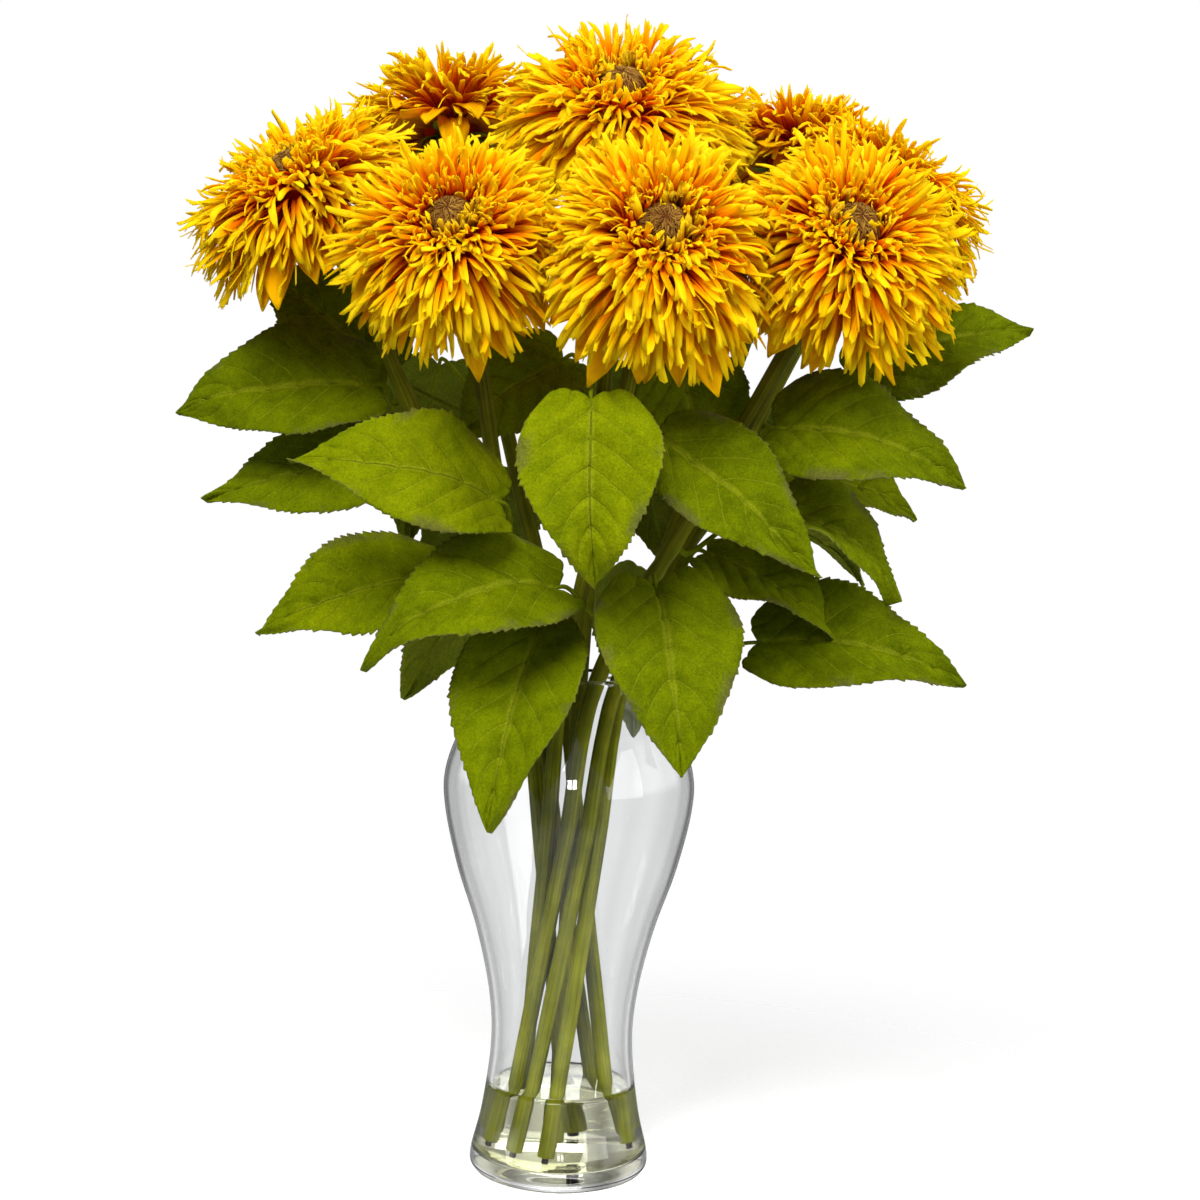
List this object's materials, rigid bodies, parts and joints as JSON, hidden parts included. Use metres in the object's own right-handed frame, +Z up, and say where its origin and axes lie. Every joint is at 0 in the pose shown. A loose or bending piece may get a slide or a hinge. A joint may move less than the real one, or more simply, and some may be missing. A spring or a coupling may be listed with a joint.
{
  "type": "sunflower arrangement in a vase",
  "caption": "Artificial double sunflowers with toothed leaves on coated wire stems, set in clear resin water in a waisted round glass vase with a narrow neck.",
  "frame": {"origin": "centre of the vase's flat base, on the surface that it stands on", "axes": "+Z up along the vase's axis; the side seen in the picture faces -Y, and +X is to its right"},
  "size_m": [0.4103, 0.2614, 0.553],
  "materials": {
    "glass": "clear, polished",
    "resin": "clear cast resin with a faint olive tint, set like still water",
    "stem": "moulded green coating with fine lengthwise ribs",
    "wire": "dark steel wire, cut square",
    "petals": "dyed woven fabric, orange at the roots and bright yellow at the tips",
    "disc": "brown flocked seed disc",
    "leaf": "dyed woven fabric with pressed veins, matte"
  },
  "bodies": {
    "root": {"vase": "glass", "water": "resin", "stem_1": "stem", "wire_end_1": "wire", "bloom_1": "petals", "disc_1": "disc", "stem_2": "stem", "wire_end_2": "wire", "bloom_2": "petals", "disc_2": "disc", "stem_3": "stem", "wire_end_3": "wire", "bloom_3": "petals", "disc_3": "disc", "stem_4": "stem", "wire_end_4": "wire", "bloom_4": "petals", "disc_4": "disc", "stem_5": "stem", "wire_end_5": "wire", "bloom_5": "petals", "disc_5": "disc", "stem_6": "stem", "wire_end_6": "wire", "bloom_6": "petals", "disc_6": "disc", "stem_7": "stem", "wire_end_7": "wire", "bloom_7": "petals", "disc_7": "disc", "stem_8": "stem", "wire_end_8": "wire", "bloom_8": "petals", "disc_8": "disc", "leaf_01": "leaf", "leaf_02": "leaf", "leaf_03": "leaf", "leaf_04": "leaf", "leaf_05": "leaf", "leaf_06": "leaf", "leaf_07": "leaf", "leaf_08": "leaf", "leaf_09": "leaf", "leaf_10": "leaf", "leaf_11": "leaf", "leaf_12": "leaf", "leaf_13": "leaf", "leaf_14": "leaf", "leaf_15": "leaf", "leaf_16": "leaf", "leaf_17": "leaf", "leaf_18": "leaf", "leaf_19": "leaf", "leaf_20": "leaf", "leaf_21": "leaf", "leaf_22": "leaf", "leaf_23": "leaf", "leaf_24": "leaf", "leaf_25": "leaf", "leaf_26": "leaf"}
  },
  "joints": []
}
